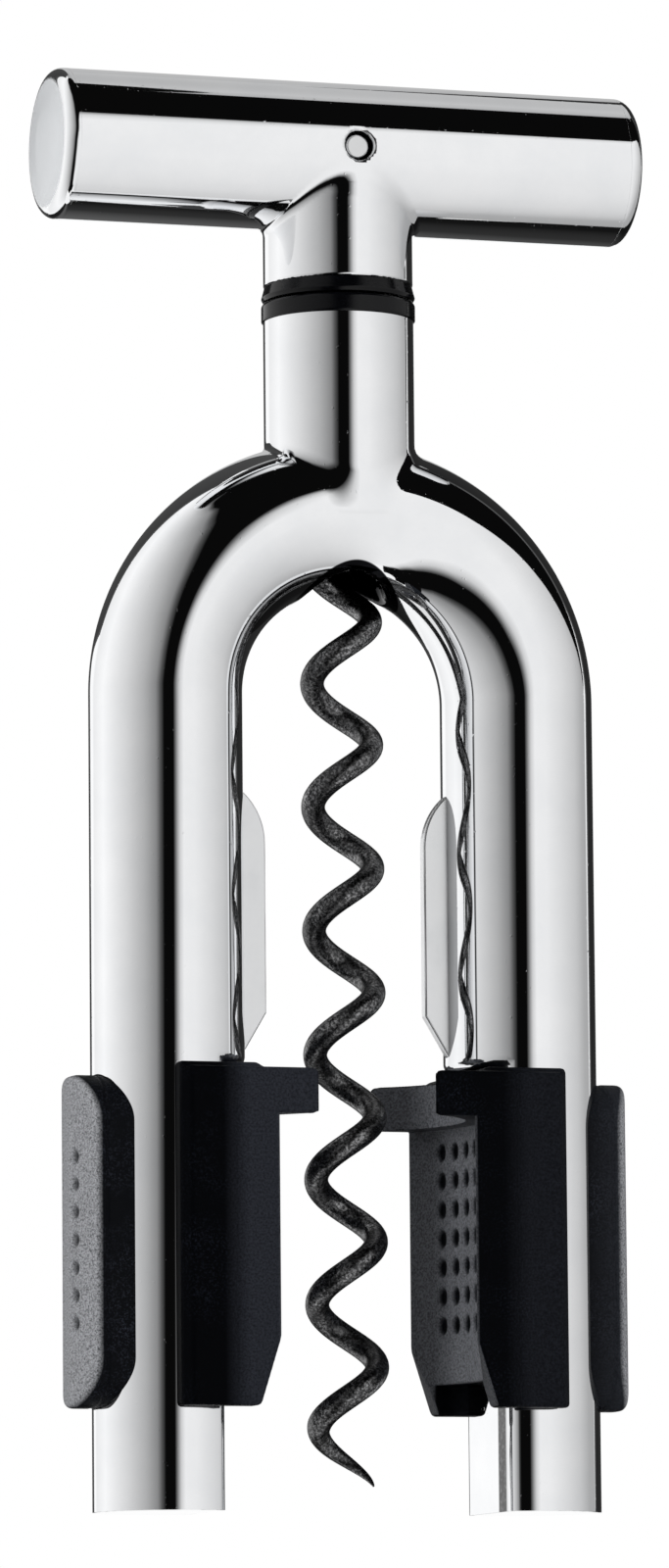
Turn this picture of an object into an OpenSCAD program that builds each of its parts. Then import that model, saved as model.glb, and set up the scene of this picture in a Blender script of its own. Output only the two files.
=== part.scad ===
// Self-pulling corkscrew: a turning handle with a worm, in a standing yoke with squeeze jaws.
// The worm's axis is Z, the legs stand apart along X, and the feet rest on Z = 0.

/* [Yoke] */
// Radius of the round legs and of the arch
leg_r = 8.7; // [8.3:0.1:9.2]
// Distance from the worm's axis to the middle of each leg
leg_x = 20.9; // [20.2:0.1:22]
// Height of the arch's centre above the feet
arch_z = 92; // [86:0.5:100]
// Depth that the legs' inner sides are cut back behind the jaws and below them
relief_depth = 4.55; // [4.2:0.05:4.8]
// Width of the bevel along the edges of the cut-back faces
edge_bevel = 1; // [0.4:0.1:1.4]
// Chamfer round the feet
foot_chamfer = 0.4; // [0.2:0.1:0.8]
// Radius of the barrel on top of the arch
barrel_r = 8.6; // [8.2:0.1:9]
// Height of the barrel's top edge
barrel_top = 135.3; // [130:0.1:142]
// Radius of the bore through barrel and arch
bore_r = 6.5; // [6.2:0.1:6.8]

/* [Cork fins] */
// Thickness of each fin
fin_t = 1.4; // [1:0.1:2]
// Distance from the worm's axis to the fin's free edge
fin_edge = 9.4; // [8.6:0.1:10]
// Height of the fin's lowest point above the cut-back part of the leg
fin_over = 1.5; // [1.2:0.1:5]
// Length of the fin along the leg
fin_len = 29.9; // [24:0.1:32]
// Depth of the slot that holds the fin's root
fin_root = 2.5; // [1.5:0.1:3]
// Height of the sloping lower end
fin_slope = 4.7; // [2:0.1:6]
// Height of the rounded upper end
fin_round = 6; // [5:0.1:9]

/* [Bearing] */
// Radius of the two black rings at their widest
ring_r = 8.8; // [8.6:0.05:9]
// Height of the lower ring, the bush's flange
flange_h = 2.2; // [1.6:0.1:3]
// Length of the bush's sleeve inside the barrel
sleeve_len = 16; // [10:0.5:18]
// Radius of the spindle's journal
journal_r = 5.2; // [4.8:0.05:5.4]
// Chamfer round the lower ring's edges
flange_chamfer = 0.25; // [0.1:0.05:0.4]
// Height of the upper ring
upper_ring_h = 1.8; // [1.2:0.1:2.4]
// How far the upper ring flares out towards its lower edge
ring_flare = 0.3; // [0.1:0.05:0.5]
// Thickness of the thrust washer
washer_t = 0.6; // [0.4:0.1:1]
// Thickness of the retaining clip
clip_t = 0.9; // [0.6:0.1:1.2]
// Depth of the groove that holds the clip
clip_groove = 0.8; // [0.5:0.1:1]
// Opening angle of the clip
clip_gap = 60; // [40:5:90]

/* [Handle] */
// Radius of the handle's bar
bar_r = 8.6; // [8.2:0.1:9]
// Half of the bar's length, up to the end caps
bar_half = 32.8; // [28:0.1:38]
// Radius of the stem under the bar
stem_r = 8.55; // [8.2:0.05:8.6]
// Height of the bar's axis above the stem's lower face
stem_h = 15; // [13:0.1:18]
// How far an end cap stands out
cap_h = 2.1; // [1.6:0.1:3]
// Radius of the cap's rounded edge
cap_round = 1.5; // [1:0.1:1.6]
// Radius of the cap's shallow dome
dome_r = 60; // [50:5:120]
// Radius of the bore in each end of the bar
cap_bore_r = 6.2; // [5.5:0.1:6.6]
// Depth of the bore in each end of the bar
cap_bore_len = 20; // [10:1:21]
// Length of the cap's plug
cap_plug_len = 5; // [3:0.5:8]

/* [Spindle and pin] */
// Radius of the spindle's tenon in the handle
tenon_r = 4; // [3.6:0.1:4.4]
// How far the tenon reaches above the bar's axis
tenon_over = 4.5; // [3:0.1:5.5]
// How far the spindle reaches below its clip
spindle_tail = 2.2; // [1.5:0.1:3]
// Radius of the cross pin
pin_r = 1.35; // [1.2:0.05:1.6]
// Depth of the pin's ends below the bar's surface
pin_sunk = 0.9; // [0.4:0.1:1.2]
// Width of the sunk gap round the pin's ends
pin_gap = 0.4; // [0.2:0.05:0.5]

/* [Worm] */
// Outer radius of the worm
worm_r = 4.7; // [4:0.05:5]
// Radius of the worm's wire
wire_r = 1.36; // [1.2:0.02:1.6]
// Rise of one turn
worm_pitch = 14.1; // [12:0.1:16]
// Height of the worm's point above the feet
tip_z = 4; // [1:0.1:6]
// Angle round the axis where the point lies
tip_angle = 28; // [-180:1:180]
// Length of the tapered point, in turns
tip_turns = 0.45; // [0.3:0.05:1]
// Share of the wire's radius that is left at the very point
tip_thin = 0.08; // [0.05:0.01:0.15]
// Share of the helix's radius at the very point
tip_in = 0.9; // [0.8:0.02:1]
// Depth of the wire's straight shank in the spindle
shank_len = 11; // [6:0.5:14]

/* [Jaws] */
// Half of the jaw's depth from front to back
jaw_half = 12; // [11.6:0.1:12.6]
// Distance from the axis to the jaw's front and rear edges
jaw_edge = 11.2; // [10.6:0.1:12]
// Distance that the jaw's sides reach past the middle of the leg
side_past = 1.8; // [1.2:0.1:2.4]
// Height of the jaw's lowest edge
jaw_z = 11.4; // [9:0.1:14]
// Height of the whole jaw
jaw_h = 38.2; // [35:0.1:40]
// Thickness of the jaw's wall at its thinnest
seat_wall = 1.2; // [1:0.05:1.4]
// Height of the open space under the wall
seat_open = 3.4; // [2:0.1:5]
// Height of the stop that rests on the bottle's rim
stop_h = 5.7; // [4:0.1:7]
// Radius of the stop's hollow edge
stop_r = 13.5; // [12.6:0.1:13.6]
// Height of the sloping lead-in under the jaw's inner edges
lead_h = 8.2; // [5:0.1:11]
// Width of the sloping lead-in
lead_w = 2.6; // [1.5:0.1:3.2]
// Slope of the jaw's sides away from the parting line
jaw_draft = 0.15; // [0:0.05:0.3]
// Bevel on the jaw's leg-side edges
jaw_bevel = 1; // [0.5:0.1:1.3]
// Radius of the jaw's leg-side corners
jaw_round = 0.8; // [0.4:0.1:1.5]

/* [Grips] */
// Half of the grip's depth from front to back
grip_half = 6.3; // [5.8:0.1:6.6]
// Height of the grip's lowest edge
grip_z = 11.5; // [9:0.1:14]
// Height of the whole grip
grip_h = 37.1; // [35:0.1:40]
// Radius of the grip's corners
grip_corner = 5.4; // [4:0.1:5.8]
// How far the grip stands out of the leg
grip_proud = 3.2; // [2.8:0.1:4]
// Radius of the grip's upper and lower outer edges
grip_round = 1.2; // [0.6:0.1:1.6]
// Bevel along the grip's long outer edges
grip_bevel = 1.1; // [0.6:0.1:1.6]
// Distance from the leg's middle to the floor of the grip's pocket
pocket_floor = 3.4; // [3:0.1:3.6]

/* [Squeeze] */
// Travel of each jaw and grip
travel = 1.5; // [1:0.1:1.6]
// Radius of the link pins
link_r = 2; // [1.8:0.05:2.2]
// Height of the middle between a side's two link pins
link_z = 30; // [28:0.5:31]
// Distance between a side's two link pins
link_gap = 18; // [16:0.5:19]
// Radius of the bosses behind the jaw
boss_r = 3.4; // [3.2:0.1:3.8]
// Height of the bosses behind the jaw
boss_h = 2; // [1.5:0.1:2.2]
// Depth of a link pin in the grip
link_hold = 3; // [2:0.1:3.2]
// Depth of the spring's seat in the leg
seat_leg = 2.5; // [1.5:0.1:2.6]
// Depth of the spring's seat in the grip
seat_grip = 2; // [1:0.1:2.2]
// Mean radius of a return spring
spring_r = 3.1; // [2.9:0.05:3.3]
// Radius of the spring's wire
spring_wire = 0.35; // [0.25:0.05:0.4]
// Turns of a return spring
spring_turns = 4; // [3:0.5:4]

/* [Clearances] */
// Space between parts that move past each other
clear = 0.3; // [0.2:0.05:0.4]
// Radial running clearance of a shaft in its hole
run_fit = 0.05; // [0.02:0.01:0.09]
// Radial clearance of a part fixed in its seat
seat_fit = 0.02; // [0.01:0.01:0.04]

/* [Hidden] */
$fn = 64;
fine = 128;
very_fine = 720;
far = 400;
past = 1;
sliver = 0.01;
steel = "silver";
chrome = "gainsboro";
black = "dimgray";

// Yoke
inner_x = leg_x - leg_r;
relief_x = inner_x + relief_depth;
relief_u = relief_x - leg_x;
relief_top = jaw_z + jaw_h + clear;
fin_z = relief_top + fin_over;

// Bearing, from the barrel upwards and downwards
flange_top = barrel_top + flange_h;
upper_ring_z = flange_top + clear / 2;
stem_z = upper_ring_z + upper_ring_h;
bar_z = stem_z + stem_h;
sleeve_z = barrel_top - sleeve_len;
washer_z = sleeve_z - run_fit - washer_t;
clip_z = washer_z - run_fit - clip_t;
spindle_z = clip_z - spindle_tail;

// Worm, from the point upwards
helix_r = worm_r - wire_r;
rings_turn = 20;
wire_sides = 10;
coil_rings = 8;
coil_sides = 6;
close_turns = 0.6;
helix_end = spindle_z - clear - close_turns * worm_pitch;
helix_turns = (helix_end - tip_z) / worm_pitch;
close_rings = round(close_turns * rings_turn);
helix_rings = round(helix_turns * rings_turn);

// Jaws and grips
jaw_back = relief_x - clear;
jaw_end = leg_x + side_past;
jaw_top = jaw_z + jaw_h;
stop_z = jaw_top - stop_h;
stop_end = sqrt(pow(stop_r, 2) - pow(jaw_half - jaw_draft, 2));
seat_depth = jaw_back - seat_wall - jaw_edge;
seat_r = (pow(jaw_half, 2) + pow(seat_depth, 2)) / (2 * seat_depth);
seat_x = jaw_back - seat_wall - seat_r;
channel_half = leg_r + clear;
grip_in = leg_x + pocket_floor + travel + clear;
grip_r = leg_r + grip_proud;
link_heights = [link_z - link_gap / 2, link_z + link_gap / 2];
link_start = jaw_back - seat_wall + seat_wall / 3;
link_end = grip_in + seat_grip + link_hold;
spring_start = leg_x + pocket_floor - seat_leg;
spring_end = grip_in + seat_grip;
spring_seat_r = spring_r + spring_wire + clear;

// Copies a right-hand piece to the side that is asked for: 1 is right, -1 is left
module on_side(side) {
    mirror([side < 0 ? 1 : 0, 0, 0]) children();
}

// A cylinder that points along +X from a given place
module rod_x(x, z, r, len) {
    translate([x, 0, z]) rotate([0, 90, 0]) cylinder(r = r, h = len);
}

// A rectangle with round corners, centred on X and standing on Y = 0
module round_rect(half, h, r) {
    translate([r - half, 0]) square([2 * (half - r), h]);
    translate([-half, r]) square([2 * half, h - 2 * r]);
    for (x = [r - half, half - r], y = [r, h - r]) translate([x, y]) circle(r);
}

// Points of a wire that winds round Z: one [x, y, z, angle, wire radius] for each ring
function ring_frame(p, i) =
    let (
        last = len(p) - 1,
        a = p[max(i - 1, 0)],
        b = p[min(i + 1, last)],
        d = [b[0] - a[0], b[1] - a[1], b[2] - a[2]],
        t = d / norm(d),
        out = [cos(p[i][3]), sin(p[i][3]), 0],
        m = out - (out * t) * t,
        n = m / norm(m)
    )
    [n, cross(t, n)];

// A closed tube of triangles round such points
module wire_tube(p, sides) {
    last = len(p) - 1;
    points = [for (i = [0:last])
        let (f = ring_frame(p, i), c = [p[i][0], p[i][1], p[i][2]])
        for (k = [0:sides - 1])
            c + p[i][4] * (cos(360 * k / sides) * f[0] + sin(360 * k / sides) * f[1])];
    walls = [for (i = [0:last - 1], k = [0:sides - 1])
        let (a = i * sides + k, b = i * sides + (k + 1) % sides)
        each [[a, a + sides, b], [b, a + sides, b + sides]]];
    start_cap = [for (k = [1:sides - 2]) [0, k, k + 1]];
    end_ring = last * sides;
    end_cap = [for (k = [1:sides - 2]) [end_ring, end_ring + k + 1, end_ring + k]];
    polyhedron(points, concat(walls, start_cap, end_cap));
}

// Least space between one turn of a wire and the next
function coil_gap(pitch, r, wire) = pitch * cos(atan(pitch / (2 * PI * r))) - 2 * wire;

module frame_yoke() {
    color(chrome) difference() {
        union() {
            for (side = [-1, 1]) on_side(side) translate([leg_x, 0, 0]) cylinder(r = leg_r, h = arch_z);
            translate([0, 0, arch_z]) rotate([90, 0, 0])
                rotate_extrude(angle = 180) translate([leg_x, 0]) circle(leg_r);
            translate([0, 0, arch_z + leg_x]) cylinder(r = barrel_r, h = barrel_top - arch_z - leg_x);
        }
        translate([0, 0, arch_z]) cylinder(r = bore_r, h = far);
        for (side = [-1, 1]) on_side(side) {
            leg_relief();
            foot_edge();
            fin_slot();
            grip_pocket();
            for (z = link_heights) link_bore(z);
        }
    }
}

// Cuts back the inner side of a leg behind the jaw and below it, and bevels the two edges
module leg_relief() {
    corner_y = sqrt(pow(leg_r, 2) - pow(relief_u, 2));
    corner = atan2(corner_y, relief_u);
    bevel_angle = (corner + 180) / 2;
    bevel_depth = edge_bevel / 2 * tan((180 - corner) / 2);
    bevel_u = relief_u * cos(bevel_angle) + corner_y * sin(bevel_angle) - bevel_depth;
    translate([leg_x, 0, -past]) linear_extrude(relief_top + past) {
        translate([-leg_r - past, -leg_r]) square([relief_u + leg_r + past, 2 * leg_r]);
        for (s = [-1, 1]) rotate(s * bevel_angle) translate([bevel_u, -leg_r]) square([leg_r, 2 * leg_r]);
    }
}

// Cuts the chamfer round the round side of a foot
module foot_edge() {
    translate([leg_x, 0, 0]) rotate_extrude()
        polygon([[leg_r - foot_chamfer, 0], [leg_r, foot_chamfer], [leg_r + past, foot_chamfer],
            [leg_r + past, -past], [leg_r - foot_chamfer, -past]]);
}

// Slot that holds a fin's root in the inner side of a leg
module fin_slot() {
    width = fin_t + 2 * seat_fit;
    translate([inner_x - past, -width / 2, fin_z]) cube([fin_root + seat_fit + past, width, fin_len]);
}

// Pocket in the outside of a leg that the grip sinks into
module grip_pocket() {
    translate([leg_x + pocket_floor, 0, grip_z - clear]) rotate([90, 0, 90])
        linear_extrude(far) round_rect(grip_half + clear, grip_h + 2 * clear, grip_corner + clear);
}

// Stepped bore for one link pin: boss recess, bearing and spring seat
module link_bore(z) {
    rod_x(relief_x - past, z, boss_r + clear, boss_h + past);
    rod_x(relief_x, z, link_r + run_fit, leg_r * 2);
    rod_x(spring_start, z, spring_seat_r, leg_r);
}

module cork_fin(side) {
    top_z = fin_z + fin_len;
    round_z = top_z - fin_round;
    reach = inner_x - fin_edge;
    round_r = (pow(reach, 2) + pow(fin_round, 2)) / (2 * reach);
    root_x = inner_x + fin_root;
    color(steel) on_side(side) rotate([90, 0, 0]) translate([0, 0, -fin_t / 2]) linear_extrude(fin_t)
        difference() {
            polygon([[root_x, fin_z], [inner_x, fin_z], [fin_edge, fin_z + fin_slope],
                [fin_edge, top_z], [root_x, top_z]]);
            difference() {
                translate([fin_edge - past, round_z]) square([reach + past, fin_round + past]);
                translate([fin_edge + round_r, round_z]) circle(round_r, $fn = fine);
            }
        }
}
module left_cork_fin() { cork_fin(-1); }
module right_cork_fin() { cork_fin(1); }

module guide_bush() {
    bore = journal_r + run_fit;
    color(black) rotate_extrude()
        polygon([[bore, sleeve_z], [bore_r - seat_fit, sleeve_z], [bore_r - seat_fit, barrel_top],
            [ring_r - flange_chamfer, barrel_top], [ring_r, barrel_top + flange_chamfer],
            [ring_r, flange_top - flange_chamfer], [ring_r - flange_chamfer, flange_top],
            [bore, flange_top]]);
}

module handle_bar() {
    color(chrome) difference() {
        union() {
            rod_x(-bar_half, bar_z, bar_r, 2 * bar_half);
            translate([0, 0, stem_z]) cylinder(r = stem_r, h = stem_h);
        }
        translate([0, 0, stem_z - past])
            cylinder(r = tenon_r + seat_fit, h = stem_h + tenon_over + seat_fit + past);
        translate([0, 0, bar_z]) rotate([90, 0, 0]) cylinder(r = pin_r + seat_fit, h = far, center = true);
        for (s = [0, 180]) translate([0, 0, bar_z]) rotate([90, 0, s])
            translate([0, 0, bar_r - pin_sunk]) cylinder(r = pin_r + pin_gap, h = pin_sunk + past);
        for (side = [-1, 1]) on_side(side) rod_x(bar_half - cap_bore_len, bar_z, cap_bore_r, far);
    }
}

module end_cap(side) {
    color(chrome) on_side(side) translate([bar_half, 0, bar_z]) rotate([0, 90, 0]) {
        translate([0, 0, -cap_plug_len]) cylinder(r = cap_bore_r - seat_fit, h = cap_plug_len + sliver);
        rotate_extrude() intersection() {
            union() {
                square([bar_r, cap_h - cap_round]);
                square([bar_r - cap_round, cap_h]);
                translate([bar_r - cap_round, cap_h - cap_round]) circle(cap_round);
            }
            translate([0, cap_h - dome_r]) circle(dome_r, $fn = very_fine);
            square([bar_r, cap_h]);
        }
    }
}
module left_end_cap() { end_cap(-1); }
module right_end_cap() { end_cap(1); }

module spindle() {
    tenon_z = stem_z - clear;
    groove_r = journal_r - clip_groove;
    color(steel) difference() {
        rotate_extrude()
            polygon([[0, spindle_z], [journal_r, spindle_z], [journal_r, clip_z - run_fit],
                [groove_r, clip_z - run_fit], [groove_r, clip_z + clip_t + run_fit / 2],
                [journal_r, clip_z + clip_t + run_fit / 2], [journal_r, tenon_z], [tenon_r, tenon_z],
                [tenon_r, bar_z + tenon_over], [0, bar_z + tenon_over]]);
        translate([0, 0, spindle_z - past]) cylinder(r = wire_r + seat_fit, h = shank_len + seat_fit + past);
        translate([0, 0, bar_z]) rotate([90, 0, 0]) cylinder(r = pin_r + seat_fit, h = far, center = true);
    }
}

module cross_pin() {
    color(steel) translate([0, 0, bar_z]) rotate([90, 0, 0])
        cylinder(r = pin_r, h = 2 * (bar_r - pin_sunk), center = true);
}

module upper_ring() {
    bore = journal_r + seat_fit;
    color(black) rotate_extrude()
        polygon([[bore, upper_ring_z], [ring_r - ring_flare, upper_ring_z],
            [ring_r, upper_ring_z + ring_flare], [ring_r - ring_flare, stem_z - seat_fit],
            [bore, stem_z - seat_fit]]);
}

module thrust_washer() {
    color(steel) translate([0, 0, washer_z]) difference() {
        cylinder(r = bore_r - clear, h = washer_t);
        translate([0, 0, -past]) cylinder(r = journal_r + run_fit, h = washer_t + 2 * past);
    }
}

module retaining_clip() {
    groove_r = journal_r - clip_groove;
    color(steel) translate([0, 0, clip_z]) rotate(clip_gap / 2) rotate_extrude(angle = 360 - clip_gap)
        translate([groove_r + seat_fit, 0]) square([bore_r - clear - groove_r - seat_fit, clip_t]);
}

module worm() {
    helix = [for (i = [0:helix_rings])
        let (
            turns = helix_turns * i / helix_rings,
            angle = tip_angle + 360 * turns,
            thin = sin(90 * min(turns / tip_turns, 1)),
            r = helix_r * (tip_in + (1 - tip_in) * thin),
            wire = wire_r * (tip_thin + (1 - tip_thin) * thin)
        )
        [r * cos(angle), r * sin(angle), tip_z + worm_pitch * turns, angle, wire]];
    closing = [for (i = [1:close_rings])
        let (
            share = i / close_rings,
            angle = tip_angle + 360 * (helix_turns + close_turns * share),
            r = helix_r * (1 + cos(180 * share)) / 2
        )
        [r * cos(angle), r * sin(angle), helix_end + close_turns * worm_pitch * share, angle, wire_r]];
    end_angle = tip_angle + 360 * (helix_turns + close_turns);
    shank = [[0, 0, spindle_z + shank_len, end_angle, wire_r]];
    echo(worm_turn_gap = coil_gap(worm_pitch, helix_r, wire_r));
    color(black) wire_tube(concat(helix, closing, shank), wire_sides);
}

module jaw(side) {
    full = jaw_half - jaw_draft;
    color(black) on_side(side) difference() {
        intersection() {
            rotate([90, 0, 0]) translate([0, 0, -jaw_half - past])
                linear_extrude(2 * (jaw_half + past)) jaw_outline();
            translate([0, 0, jaw_z]) linear_extrude(jaw_h) polygon([[0, -full], [jaw_back, -jaw_half],
                [jaw_end - jaw_bevel, -full], [jaw_end, jaw_bevel - full], [jaw_end, full - jaw_bevel],
                [jaw_end - jaw_bevel, full], [jaw_back, jaw_half], [0, full]]);
        }
        translate([seat_x, 0, jaw_z - past]) cylinder(r = seat_r, h = stop_z - jaw_z + past, $fn = fine);
        translate([0, 0, stop_z - sliver]) cylinder(r = stop_r, h = far, $fn = fine);
        translate([0, -channel_half, jaw_z - past]) cube([far, 2 * channel_half, seat_open + past]);
        difference() {
            translate([jaw_back, -channel_half, jaw_z - past])
                cube([far, 2 * channel_half, jaw_h + 2 * past]);
            for (z = link_heights) rod_x(jaw_back - past, z, boss_r, boss_h + past);
        }
        for (z = link_heights) rod_x(link_start - seat_fit, z, link_r + seat_fit, far);
    }
}

// Side view of a jaw with its stop and lead-in
module jaw_outline() {
    intersection() {
        polygon([[stop_end, stop_z], [stop_end, jaw_top], [jaw_end, jaw_top], [jaw_end, jaw_z],
            [jaw_edge + lead_w, jaw_z], [jaw_edge, jaw_z + lead_h], [jaw_edge, stop_z]]);
        translate([0, jaw_z]) round_rect(jaw_end, jaw_h, jaw_round);
    }
}
module left_jaw() { jaw(-1); }
module right_jaw() { jaw(1); }

module grip(side) {
    color(black) on_side(side) difference() {
        intersection() {
            translate([grip_in, 0, grip_z]) rotate([90, 0, 90])
                linear_extrude(far) round_rect(grip_half, grip_h, grip_corner);
            translate([0, 0, grip_z]) linear_extrude(grip_h) grip_section();
            rotate([90, 0, 0]) translate([0, grip_z, -leg_r]) linear_extrude(2 * leg_r)
                round_rect(leg_x + grip_r + clear / 2, grip_h, grip_round);
        }
        for (z = link_heights) {
            rod_x(grip_in - past, z, spring_seat_r, seat_grip + past);
            rod_x(grip_in, z, link_r + seat_fit, link_end + seat_fit - grip_in);
        }
    }
}

// Section of a grip: round outside like the leg, with bevelled long edges
module grip_section() {
    corner_x = sqrt(pow(grip_r, 2) - pow(grip_half, 2));
    apex = corner_x + grip_half - grip_bevel;
    translate([leg_x, 0]) intersection() {
        circle(grip_r, $fn = fine);
        polygon([[0, -apex], [apex, 0], [0, apex]]);
    }
}
module left_grip() { grip(-1); }
module right_grip() { grip(1); }

module link_pins(side) {
    color(steel) on_side(side)
        for (z = link_heights) rod_x(link_start, z, link_r, link_end - link_start);
}
module left_link_pins() { link_pins(-1); }
module right_link_pins() { link_pins(1); }

module return_springs(side) {
    rings = round(coil_rings * spring_turns);
    len = spring_end - spring_start - 2 * (spring_wire + run_fit);
    coil = [for (i = [0:rings])
        let (angle = 360 * spring_turns * i / rings)
        [spring_r * cos(angle), spring_r * sin(angle), len * i / rings, angle, spring_wire]];
    echo(spring_turn_gap = coil_gap(len / spring_turns, spring_r, spring_wire));
    color(steel) on_side(side) for (z = link_heights)
        translate([spring_start + spring_wire + run_fit, 0, z]) rotate([0, 90, 0])
            wire_tube(coil, coil_sides);
}
module left_return_springs() { return_springs(-1); }
module right_return_springs() { return_springs(1); }

frame_yoke();
left_cork_fin();
right_cork_fin();
guide_bush();
handle_bar();
left_end_cap();
right_end_cap();
spindle();
cross_pin();
upper_ring();
thrust_washer();
retaining_clip();
worm();
left_jaw();
right_jaw();
left_grip();
right_grip();
left_link_pins();
right_link_pins();
left_return_springs();
right_return_springs();
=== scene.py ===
# Looks and studio for a standing corkscrew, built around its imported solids.
import math

import bmesh
import bpy
import numpy as np
from mathutils import Matrix, Vector


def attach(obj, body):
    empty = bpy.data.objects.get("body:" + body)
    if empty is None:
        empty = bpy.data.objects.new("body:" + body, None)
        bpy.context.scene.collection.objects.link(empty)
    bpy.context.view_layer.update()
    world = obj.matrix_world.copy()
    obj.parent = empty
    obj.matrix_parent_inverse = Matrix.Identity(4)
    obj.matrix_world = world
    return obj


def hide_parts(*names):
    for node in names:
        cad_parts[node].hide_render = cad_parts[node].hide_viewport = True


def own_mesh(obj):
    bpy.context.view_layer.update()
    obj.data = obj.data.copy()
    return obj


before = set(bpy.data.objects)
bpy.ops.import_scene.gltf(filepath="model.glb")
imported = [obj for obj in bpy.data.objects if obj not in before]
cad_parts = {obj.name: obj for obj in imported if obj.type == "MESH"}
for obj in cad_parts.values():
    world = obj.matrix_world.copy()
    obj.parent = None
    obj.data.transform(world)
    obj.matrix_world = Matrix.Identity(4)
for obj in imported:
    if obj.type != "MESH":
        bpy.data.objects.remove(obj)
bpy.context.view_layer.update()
mm = 0.001
bothSides = ((-1, "left"), (1, "right"))
print("frame loaded,", len(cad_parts), "nodes")


class Wire:
    # a socket of a node tree: arithmetic on it adds Math nodes, and add() makes any other node
    def __init__(self, tree, socket=None):
        self.tree = tree
        self.socket = socket

    def add(self, kind, settings=None, sockets=None, out=0):
        node = self.tree.nodes.new(kind)
        for key, value in (settings or {}).items():
            if key == "stops":
                ramp = node.color_ramp
                while len(ramp.elements) < len(value):
                    ramp.elements.new(0.5)
                for element, (place, level) in zip(ramp.elements, value):
                    element.position = place
                    element.color = (level, level, level, 1)
            else:
                setattr(node, key, value)
        for key, value in (sockets or {}).items():
            if isinstance(value, Wire):
                self.tree.links.new(value.socket, node.inputs[key])
            else:
                node.inputs[key].default_value = value
        if out is None:
            return [Wire(self.tree, socket) for socket in node.outputs]
        return Wire(self.tree, node.outputs[out]) if len(node.outputs) else node

    def maths(self, operation, a, b=0.0):
        return self.add("ShaderNodeMath", {"operation": operation}, {0: a, 1: b})

    def __add__(self, other):
        return self.maths("ADD", self, other)

    def __radd__(self, other):
        return self.maths("ADD", other, self)

    def __sub__(self, other):
        return self.maths("SUBTRACT", self, other)

    def __rsub__(self, other):
        return self.maths("SUBTRACT", other, self)

    def __mul__(self, other):
        return self.maths("MULTIPLY", self, other)

    def __rmul__(self, other):
        return self.maths("MULTIPLY", other, self)

    def __truediv__(self, other):
        return self.maths("DIVIDE", self, other)

    def __rtruediv__(self, other):
        return self.maths("DIVIDE", other, self)

    def span(self, low, high, newLow=0.0, newHigh=1.0):
        return self.add("ShaderNodeMapRange", None, {0: self, 1: low, 2: high, 3: newLow, 4: newHigh})


def newMaterial(name):
    material = bpy.data.materials.new(name)
    material.use_nodes = True
    material.node_tree.nodes.clear()
    return material, Wire(material.node_tree)


def closeMaterial(wire, shader):
    wire.add("ShaderNodeOutputMaterial", None, {"Surface": shader})


def grain(wire, size, detail=2.0, rough=0.5, stretch=(1, 1, 1)):
    # noise whose grains are about size millimetres across
    place = wire.add("ShaderNodeTexCoord", None, None, "Object")
    turned = wire.add("ShaderNodeMapping", None, {"Vector": place, "Scale": stretch})
    return wire.add("ShaderNodeTexNoise", None,
                    {"Vector": turned, "Scale": 1 / (size * mm), "Detail": detail, "Roughness": rough})


def bump(wire, height, depth, normal=None):
    sockets = {"Height": height, "Distance": depth * mm}
    if normal:
        sockets["Normal"] = normal
    return wire.add("ShaderNodeBump", None, sockets)


def twoTone(wire, mask, dark, light):
    dark = dark if isinstance(dark, Wire) else (*dark, 1)
    return wire.add("ShaderNodeMix", {"data_type": "RGBA"}, {0: mask, 6: dark, 7: (*light, 1)}, 2)


def spotOf(wire):
    return wire.add("ShaderNodeSeparateXYZ", None, {0: wire.add("ShaderNodeTexCoord", None, None, "Object")}, None)


def lengthOf(wire, a, b):
    return wire.maths("SQRT", a * a + b * b)


# Finishes that several pieces share
# Of chromeLook's last two colours, the first is the near-black of the bore and of a painted dark reflection on the
# legs' flats, the second a painted pale reflection on the end caps' discs
chromeLook = {"dark": (0.87, 0.88, 0.895), "light": (0.925, 0.93, 0.94), "rough": 0.022, "smudge": 0.022,
              "ripple": 0.0008, "nearBlackAndReflection": (0.006, 0.006, 0.007), "satinSheen": (0.57, 0.585, 0.60)}
finLook = {"dark": (0.80, 0.81, 0.82), "light": (0.90, 0.905, 0.91), "rough": 0.30, "smudge": 0.06, "ripple": 0.001}
steelLook = {"dark": (0.52, 0.53, 0.54), "light": (0.66, 0.67, 0.68), "rough": 0.22, "smudge": 0.12}
innerLook = {"dark": (0.012, 0.012, 0.013), "light": (0.03, 0.03, 0.032), "rough": 0.30, "smudge": 0.12}


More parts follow.
